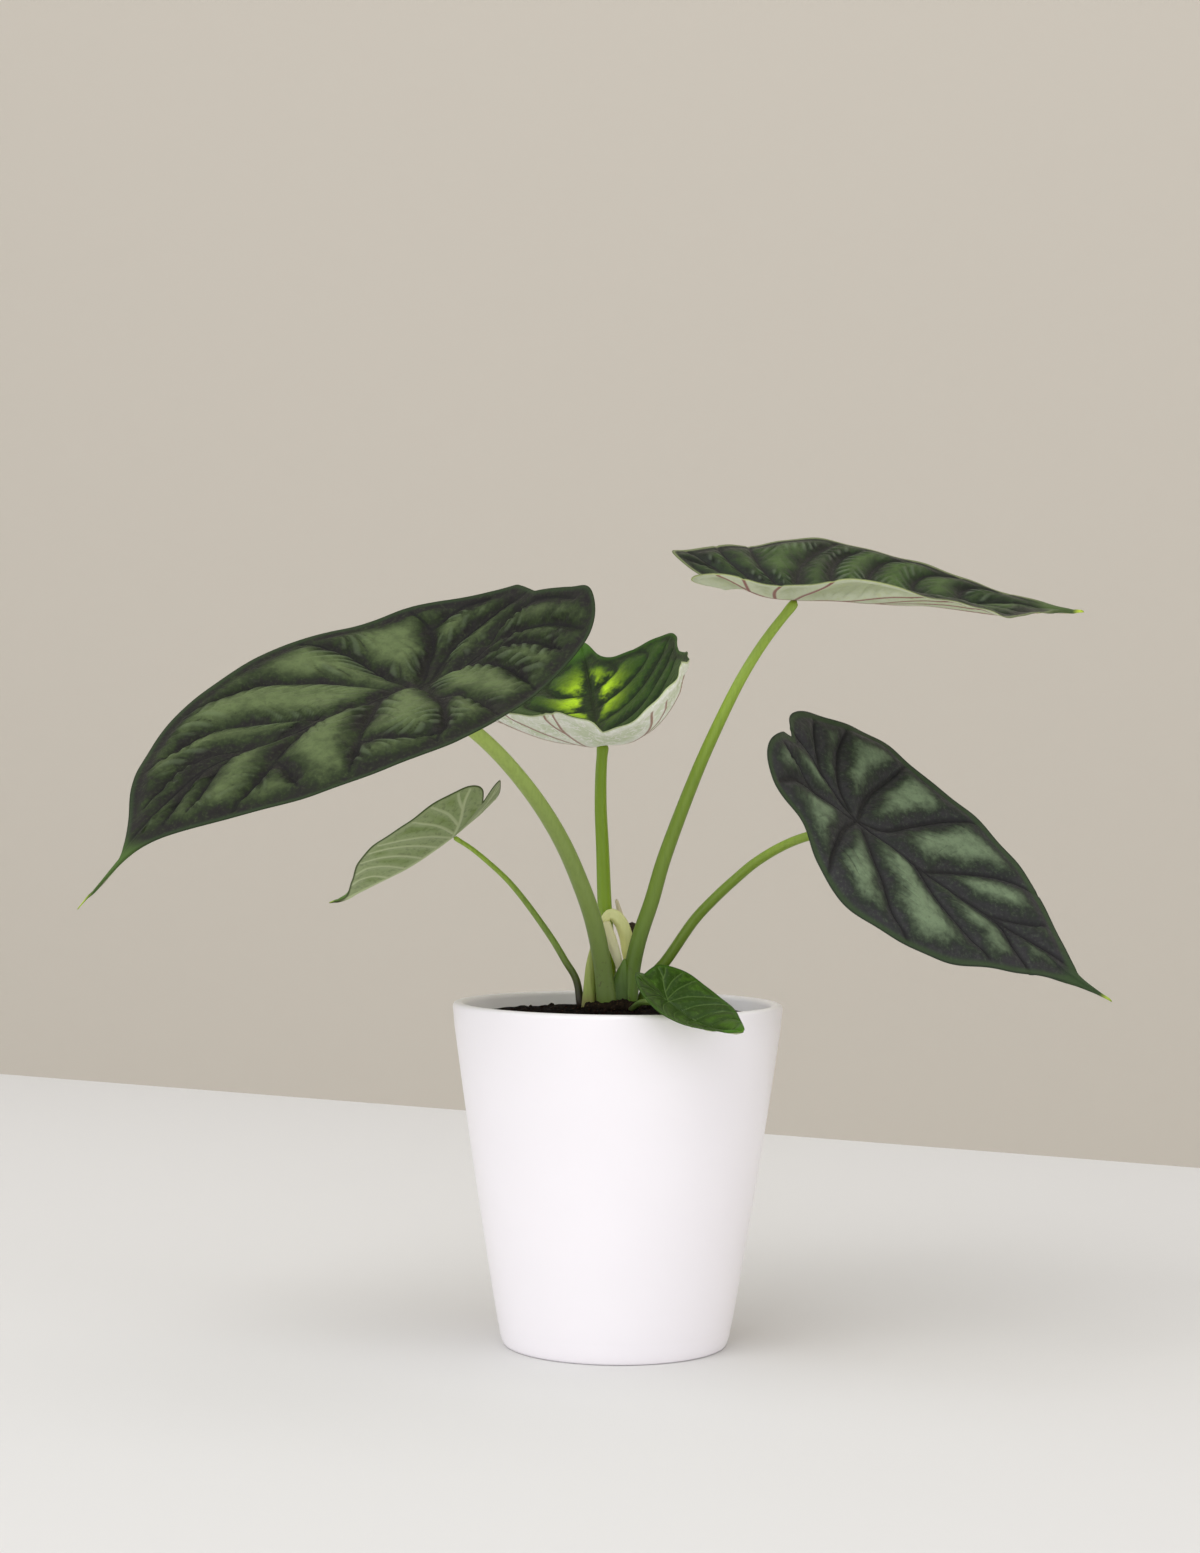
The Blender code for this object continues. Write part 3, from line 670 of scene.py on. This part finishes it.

# %% [markdown]
# ## Stalks
# Fleshy, slightly oval in section, thick at the foot where each clasps the crown, and swelling a
# little where it meets the blade. Bright lime near the blade, deeper green below.

# %% Routes and tubes
STALK_FOOT = 131.6
STALKS = {
    "left_leaf": (3.6, 2.6, [(-4, -6, STALK_FOOT), (-6.5, -7, 151), (-10, -10, 167),
                             (-15.5, -15, 182.5), (-22.5, -21, 198), (-32, -28, 213.5),
                             (-44.5, -37, 229), (-55, -45, 239), (-66, -53, 247)]),
    "centre_leaf": (3.2, 2.1, [(-3.5, 9, STALK_FOOT), (-4, 9, 150), (-5.5, 9.5, 172),
                               (-6.5, 11.0, 194), (-7.4, 12.3, 211), (-7.4, 13.2, 225)]),
    "top_leaf": (3.3, 1.7, [(4, -3, STALK_FOOT), (5.5, -3, 147), (8, -4, 159),
                            (13, -4.5, 174.5), (17.5, -5, 190.5), (29, -6, 222),
                            (35.5, -7, 237.5), (47, -8, 261.5), (56.5, -8.5, 277)]),
    "right_leaf": (2.2, 1.6, [(9, 6, STALK_FOOT), (13.5, 5, 143.5), (19, 3, 150.5),
                              (30, -2, 167), (37, -6, 175), (45, -11, 183), (54, -18, 191),
                              (67.5, -28, 199)]),
    "low_leaf": (1.5, 0.85, [(-14.5, 4, STALK_FOOT), (-16.5, 5, 142.5), (-21, 6, 150),
                             (-26, 8, 158), (-37.5, 12, 173.5), (-44.5, 14, 181.5),
                             (-53, 17, 189), (-59.5, 19, 194)]),
    "rim_leaf": (1.3, 1.0, [(5, -10.5, STALK_FOOT), (8.5, -25, 135.8), (12, -40, 137.2),
                            (15, -51, 138)]),
}


def folded_tube(name, route, radius, materials, node, around=28, along=140, steps=160):
    """A closed tube along route. radius(angle, share) gives its half-thickness in mm."""
    line = evenly(smooth_path(route, 400), steps + 1)
    ahead = np.gradient(line, axis=0)
    ahead /= np.linalg.norm(ahead, axis=1, keepdims=True)
    side = np.cross(ahead[0], (0, 1, 0))
    sides = []
    for tangent in ahead:
        side = side - tangent * (side @ tangent)
        side /= np.linalg.norm(side)
        sides.append(side.copy())
    sides = np.array(sides)
    ups = np.cross(ahead, sides)
    edit = unit_sheet(around, along)

    def wrap(x, y, z):
        angle = x * 2 * math.pi
        at = y * steps
        read = [np.stack([np.interp(at, np.arange(steps + 1), table[:, k]) for k in range(3)], 1)
                for table in (line, sides, ups)]
        close = np.sqrt(np.clip(1 - (2 * y - 1) ** 60, 0, 1))
        r = radius(angle, y) * close
        offset = read[1] * (r * np.cos(angle))[:, None] + read[2] * (r * np.sin(angle))[:, None]
        return (read[0] + offset) * MM

    move_all(edit, wrap)
    bmesh.ops.remove_doubles(edit, verts=edit.verts, dist=2e-6)
    item = finish_mesh(name, edit, materials, node)
    mesh = item.data
    co = np.empty(len(mesh.vertices) * 3)
    mesh.vertices.foreach_get("co", co)
    points = co.reshape(-1, 3) / MM
    best = np.full(len(points), 1e9)
    share = np.zeros(len(points))
    for k, p in enumerate(line):
        d = ((points - p) ** 2).sum(1)
        nearer = d < best
        best = np.where(nearer, d, best)
        share = np.where(nearer, k / steps, share)
    mesh.attributes.new("share", "FLOAT", "POINT").data.foreach_set(
        "value", share.astype(np.float32))
    return item


def stalk_skin(name, foot, middle, head, rough=0.42, streak=0.25, speck="4A3A24"):
    """Fleshy stalk skin, its colour running from the crown up to the blade."""
    material, tree, shader = new_material(name)
    share = attribute(tree, "share")
    colour = blend(tree, remap(tree, share, 0.0, 0.35), foot, middle)
    colour = blend(tree, remap(tree, share, 0.35, 1.0), colour, head)
    streaks = grain(tree, 3.0, 4, 0.6, stretch=(3.0, 3.0, 0.25))
    colour = blend(tree, remap(tree, streaks, 0.35, 0.75, 0.0, streak), colour, foot)
    specks = grain(tree, 1.3, 2, 0.5)
    near_foot = remap(tree, share, 0.22, 0.0, 0.0, 0.7)
    colour = blend(tree, maths(tree, "MULTIPLY", remap(tree, specks, 0.60, 0.70), near_foot),
                   colour, speck)
    tree.links.new(colour, shader.inputs["Base Color"])
    shader.inputs["Roughness"].default_value = rough
    tree.links.new(bump(tree, streaks, 0.15), shader.inputs["Normal"])
    return material


stalk_skins = {
    "left_leaf": stalk_skin("stalk, lime green", "647A34", "84994A", "AEC45C"),
    "centre_leaf": stalk_skin("stalk, bright green", "8CAA24", "86A61F", "7F9E20"),
    "top_leaf": stalk_skin("stalk, green below", "56741F", "78922C", "9AB63E"),
    "right_leaf": stalk_skin("stalk, slender green", "5A7622", "748E2C", "8EA63A"),
    "low_leaf": stalk_skin("stalk, thin, brown foot", "2C1D16", "7F9C36", "9AB83A"),
    "rim_leaf": stalk_skin("stalk, short", "3E4A20", "5E7A2E", "6F8F36"),
}
for name, (foot, head, route) in STALKS.items():
    leaf = LEAVES[name]
    up = leaf_axes(leaf)[2]
    under = tuple(np.array(leaf["place"]) - up * (1.1 if name == "left_leaf" else 0.5))

    def radius(angle, share, foot=foot, head=head):
        r = foot + (head - foot) * share
        r = r * (1 + 0.12 * ease(share, 0.10, 0.0) + 0.25 * ease(share, 0.95, 1.0))
        return r * (1 + 0.05 * np.cos(2 * angle + 1.0))

    folded_tube(name + "_petiole", route + [under], radius, [stalk_skins[name]],
                name + "_stalk")
print("stalks:", len(STALKS))

# %% [markdown]
# ## Crown
# The sheaths that wrapped each new leaf dry out and curl at the foot of the stalks.

# %% Sheaths and crown
SHEATHS = {
    "green_sheath": ((2.5, 2.1, 1.4, 0.5),
                     [(-11.3, -3.5, STALK_FOOT), (-11.2, -3.3, 143), (-10.9, -3, 150.5),
                      (-10.3, -2.6, 156.5)], ("7E7A40", "9DAE56", "B8C46C")),
    "clasping_web": ((3.4, 3.6, 3.0, 1.9, 0.5),
                     [(0.6, -4.6, STALK_FOOT), (0.8, -4.4, 139), (1.4, -4.2, 144),
                      (2.2, -4.1, 148.5), (2.6, -4.0, 151.5)], ("354811", "46621A", "5F7E28")),
    "yellow_sheath": ((1.5, 1.5, 1.7, 2.2, 2.3, 2.2, 1.3),
                      [(4.4, 3.6, STALK_FOOT), (4.6, 3.6, 147), (3.9, 3.5, 154.5),
                       (2.9, 3.4, 161), (0.5, 3.3, 166.2), (-3, 3.2, 168.6), (-6.4, 3, 165)],
                      ("D0D068", "EDED9C", "F2F2B4")),
    "sheath_strip": ((0.7, 0.8, 1.1, 1.6, 1.9, 1.5),
                     [(2.0, 1.5, STALK_FOOT), (1.6, 1.2, 141), (0.6, 0.8, 148),
                      (-1.4, 0.2, 155), (-3.6, 0.2, 161), (-5.2, 0.8, 166)],
                     ("E0DC90", "F6F1CC", "EFE8BC")),
    "papery_sheath": ((0.7, 0.9, 1.3, 1.2, 0.5),
                      [(1.8, 10.8, STALK_FOOT), (3, 10.5, 146), (3.9, 9.8, 155.5),
                       (2.3, 9.8, 163), (-1, 9.9, 174.5)], ("B09A72", "D9C8A8", "E6DABF")),
    "dead_stub": ((1.6, 1.5, 1.5, 1.3),
                  [(5, 7.2, STALK_FOOT), (5.2, 7.2, 148), (5.5, 7.2, 158), (5.4, 7.2, 165.5)],
                  ("231A12", "2C2118", "3A2C20")),
}
for name, (radii, route, tones) in SHEATHS.items():
    def radius(angle, share, radii=radii):
        r = np.interp(share, np.linspace(0, 1, len(radii)), radii)
        return r * (1 + 0.18 * np.cos(2 * angle) + 0.06 * np.cos(5 * angle + 9 * share))

    skin = stalk_skin("sheath, " + name, tones[0], tones[1], tones[2],
                      rough=0.8 if "paper" in name or "dead" in name else 0.55)
    folded_tube(name + "_shell", route, radius, [skin],
                "top_leaf_stalk" if name == "clasping_web" else name, around=20, along=50)


def lathe(profile, steps):
    """A closed solid of revolution from (radius, height) points that start and end on the axis."""
    edit = bmesh.new()
    ring = [edit.verts.new((r * MM, 0.0, z * MM)) for r, z in profile]
    edges = [edit.edges.new(pair) for pair in zip(ring, ring[1:])]
    bmesh.ops.spin(edit, geom=ring + edges, cent=(0, 0, 0), axis=(0, 0, 1),
                   angle=2 * math.pi, steps=steps, use_merge=True)
    bmesh.ops.remove_doubles(edit, verts=edit.verts, dist=1e-6)
    return edit


def rounded(corner, before, after, radius, steps):
    """Points of a fillet where the line before-corner-after turns."""
    corner, before, after = Vector(corner), Vector(before), Vector(after)
    start = corner + (before - corner).normalized() * radius
    end = corner + (after - corner).normalized() * radius
    ts = [k / steps for k in range(steps + 1)]
    return [tuple(start * (1 - t) ** 2 + corner * 2 * t * (1 - t) + end * t ** 2) for t in ts]


def crumbly(name, tones, rough=0.95, size=2.0):
    material, tree, shader = new_material(name)
    colour = blend(tree, remap(tree, grain(tree, size, 6, 0.7), 0.35, 0.68), tones[0], tones[1])
    colour = blend(tree, remap(tree, grain(tree, size * 0.4, 3), 0.62, 0.72), colour, tones[2])
    tree.links.new(colour, shader.inputs["Base Color"])
    shader.inputs["Roughness"].default_value = rough
    shader.inputs["Specular IOR Level"].default_value = 0.12
    tree.links.new(bump(tree, grain(tree, size * 0.5, 6, 0.7), 0.6), shader.inputs["Normal"])
    return material


CROWN_CENTRE, CROWN_RADIUS = (-1.5, 0.5), 13.0
edit = lathe([(0, 130.5), (CROWN_RADIUS - 1, 130.5)]
             + [(CROWN_RADIUS * math.sin(a), 132.4 + 3.6 * math.cos(a) ** 0.8)
                for a in np.linspace(math.pi / 2, 0.02, 16)] + [(0, 136.0)], 64)
for vert in edit.verts:
    lump = noise.fractal(vert.co * 320, 0.6, 2.0, 4)
    if vert.co.z > 0.1333:
        vert.co.z += lump * 0.0012
    vert.co.x += CROWN_CENTRE[0] * MM
    vert.co.y += CROWN_CENTRE[1] * MM
finish_mesh("crown_base", edit, [crumbly("bark, brown crown", ("271D14", "140E09", "5A452C"))],
            "crown")

# %% [markdown]
# ## Potting mix
# Dark, damp peat with bark crumbs, mounded a little towards the crown.

# %% Potting mix
POT_HEIGHT, RIM_RADIUS, LIP = 134.2, 65.0, 4.5
FLOOR, INNER_FLOOR = 6.0, 39.5
MIX_TOP, MIX_GAP = 128.6, 0.5


def inner_radius(height):
    """Radius of the pot's inner wall."""
    share = (height - FLOOR) / (POT_HEIGHT - FLOOR)
    return INNER_FLOOR + share * (RIM_RADIUS - LIP - INNER_FLOOR)


def mound(r):
    """Height of the mix at radius r, rising towards the crown."""
    return MIX_TOP + 3.2 * ease(38 - r, 0, 19)


mix_edge = inner_radius(MIX_TOP) - MIX_GAP
profile = [(0.0, FLOOR + 0.3)] + rounded((INNER_FLOOR - MIX_GAP, FLOOR + 0.3), (0, FLOOR + 0.3),
                                         (mix_edge, MIX_TOP), 4.5, 4)
profile += [(inner_radius(h) - MIX_GAP, h) for h in (60, 100, 120, 127)]
profile += [(r, mound(r)) for r in np.linspace(mix_edge, 0.0, 60)]
edit = lathe(profile, 180)
for vert in edit.verts:
    if vert.co.z > 0.1285:
        lump = noise.fractal(vert.co * 260, 0.7, 2.1, 5)
        r = math.hypot(vert.co.x, vert.co.y)
        vert.co.z += lump * 0.0011 * (1 if r < 0.057 else 0.5)
peat = crumbly("peat, dark and damp", ("110907", "050303", "5E3A28"), size=1.6)
finish_mesh("mix_body", edit, [peat], "potting_mix")

rng = np.random.default_rng(11)
crumbs = bmesh.new()
for k in range(760):
    r, a = 57 * math.sqrt(rng.random()), rng.random() * 2 * math.pi
    if math.hypot(r * math.cos(a) + 1.5, r * math.sin(a) - 0.5) < 12:
        continue
    size = 0.35 + 1.1 * rng.random() ** 2.5
    z = mound(r) + 0.3 * size
    made = bmesh.ops.create_icosphere(crumbs, subdivisions=1, radius=size * MM)["verts"]
    turn = Matrix.Rotation(rng.random() * 6.3, 3, Vector(rng.normal(size=3)))
    flat = Vector((1, 0.5 + 0.5 * rng.random(), 0.4 + 0.5 * rng.random()))
    for vert in made:
        vert.co = turn @ Vector([vert.co[i] * flat[i] for i in range(3)])
        vert.co += Vector((r * math.cos(a), r * math.sin(a), z)) * MM
bits = crumbly("bark crumbs", ("22120D", "0C0605", "7A4C38"), size=1.2)
finish_mesh("mix_crumbs", crumbs, [bits], "potting_mix", smooth=False)

# %% [markdown]
# ## Pot
# Slip-cast, turned on its axis: one profile spun round, with a soft lip and a shallow foot line.

# %% Pot
FOOT_RADIUS, BASE_RADIUS = 46.2, 42.6
foot, rim_out = (FOOT_RADIUS, 9.0), (RIM_RADIUS, POT_HEIGHT)
rim_in, shoulder = (inner_radius(POT_HEIGHT), POT_HEIGHT), (RIM_RADIUS - 0.3, POT_HEIGHT - 6)
profile = [(0.0, 0.6), (BASE_RADIUS - 6, 0.6), (BASE_RADIUS - 4.5, 0.0), (BASE_RADIUS - 0.5, 0.0)]
profile += rounded((BASE_RADIUS + 1.2, 0.0), (BASE_RADIUS - 2, 0), (BASE_RADIUS + 2.2, 3.0), 1.3, 6)
profile += [(BASE_RADIUS + 2.6, 4.0), (FOOT_RADIUS - 0.45, 7.4), (FOOT_RADIUS - 0.25, 8.2),
            (FOOT_RADIUS, 9.2)]
for t in np.linspace(0.06, 0.97, 14):
    profile.append((FOOT_RADIUS + t * (shoulder[0] - FOOT_RADIUS) + 0.5 * math.sin(math.pi * t),
                    9 + t * (shoulder[1] - 9)))
profile += rounded(rim_out, shoulder, rim_in, LIP * 0.48, 9)
profile += rounded(rim_in, rim_out, (INNER_FLOOR, FLOOR), LIP * 0.48, 9)
profile += [(inner_radius(h), h) for h in (110, 80, 50, 25)]
profile += rounded((INNER_FLOOR, FLOOR), rim_in, (0.0, FLOOR), 4.0, 5) + [(0.0, FLOOR)]
edit = lathe(profile, 192)

glaze, tree, shader = new_material("ceramic, white glaze")
tree.links.new(blend(tree, remap(tree, grain(tree, 90.0, 2), 0.3, 0.7), "F9F5FA", "F6F2F7"),
               shader.inputs["Base Color"])
shader.inputs["Roughness"].default_value = 0.32
shader.inputs["Coat Weight"].default_value = 0.25     # clear glass over the white body
shader.inputs["Coat Roughness"].default_value = 0.15
tree.links.new(bump(tree, grain(tree, 30.0, 1), 0.2, 0.12), shader.inputs["Normal"])
finish_mesh("pot_glazed", edit, [glaze], "pot")
print("pot, mix and crown done")

# %% [markdown]
# ## Stage
# A pale table top and a plain wall behind it, in soft light: a broad key from the upper left, a
# weak fill on each side, a small lamp overhead, and an even white world.

# %% Stage, light and camera
def stage_material(name, colour, rough=0.7):
    material, tree, shader = new_material(name)
    shader.inputs["Base Color"].default_value = linear(colour)
    shader.inputs["Roughness"].default_value = rough
    return material


def panel(name, corners, material):
    mesh = bpy.data.meshes.new(name)
    mesh.from_pydata(corners, [], [(0, 1, 2, 3)])
    mesh.materials.append(material)
    item = bpy.data.objects.new(name, mesh)
    bpy.context.collection.objects.link(item)
    return item


table = stage_material("painted table, off white", "DBDAD9")
wall = stage_material("painted wall, warm grey", "B8B1A6")
# the wall has no back, so that the plant is seen from behind it too
tree = wall.node_tree
face = add(tree, "NewGeometry").outputs["Backfacing"]
tree.links.new(maths(tree, "SUBTRACT", 1.0, face), tree.nodes["Principled BSDF"].inputs["Alpha"])
left, right = Vector((-0.458, 0.984, 0)), Vector((0.345, 0.523, 0))
run = (right - left).normalized()
far_left, far_right = left - run * 3, right + run * 3
panel("table_top", [far_left, (-3, -3, 0), (3, -3, 0), far_right], table)
panel("wall", [far_left + Vector((0, 0, -1)), far_right + Vector((0, 0, -1)),
               far_right + Vector((0, 0, 3)), far_left + Vector((0, 0, 3))], wall)


def soft_light(name, place, aim, size, power, colour=(1, 1, 1)):
    lamp = bpy.data.lights.new(name, "AREA")
    lamp.shape, lamp.size, lamp.size_y = "RECTANGLE", size[0], size[1]
    lamp.energy, lamp.color = power, colour
    item = bpy.data.objects.new(name, lamp)
    item.location = place
    item.rotation_euler = (Vector(aim) - Vector(place)).to_track_quat("-Z", "Y").to_euler()
    bpy.context.collection.objects.link(item)
    return item


soft_light("key", (-1.7, -3.0, 4.0), (0, 0, 0.15), (3.4, 3.4), 84)
soft_light("fill_left", (-2.2, -1.2, 0.9), (0, 0, 0.2), (1.6, 1.6), 6)
soft_light("fill_right", (2.4, -1.6, 1.0), (0, 0, 0.2), (1.6, 1.6), 9)
soft_light("overhead", (-0.1, -0.25, 1.7), (0, 0, 0.1), (1.2, 1.2), 3)
world = bpy.data.worlds.new("studio")
bpy.context.scene.world = world
world.use_nodes = True
world.node_tree.nodes["Background"].inputs["Color"].default_value = (1, 1, 1, 1)
world.node_tree.nodes["Background"].inputs["Strength"].default_value = 0.9
bpy.context.scene.view_settings.view_transform = "Standard"

lens = bpy.data.cameras.new("camera")
lens.sensor_width = 36
lens.lens = 63.47
camera = bpy.data.objects.new("camera", lens)
bpy.context.collection.objects.link(camera)
pitch, roll = 0.0053, 0.0092
ahead = Vector((0, math.cos(pitch), math.sin(pitch)))
above = Vector((0, -math.sin(pitch), math.cos(pitch)))
right = Vector((1, 0, 0))
right, above = (right * math.cos(roll) + above * math.sin(roll),
                above * math.cos(roll) - right * math.sin(roll))
camera.matrix_world = Matrix.Translation((-0.0078, -1.080, 0.2173)) @ Matrix(
    (right, above, -ahead)).transposed().to_4x4()
bpy.context.scene.camera = camera
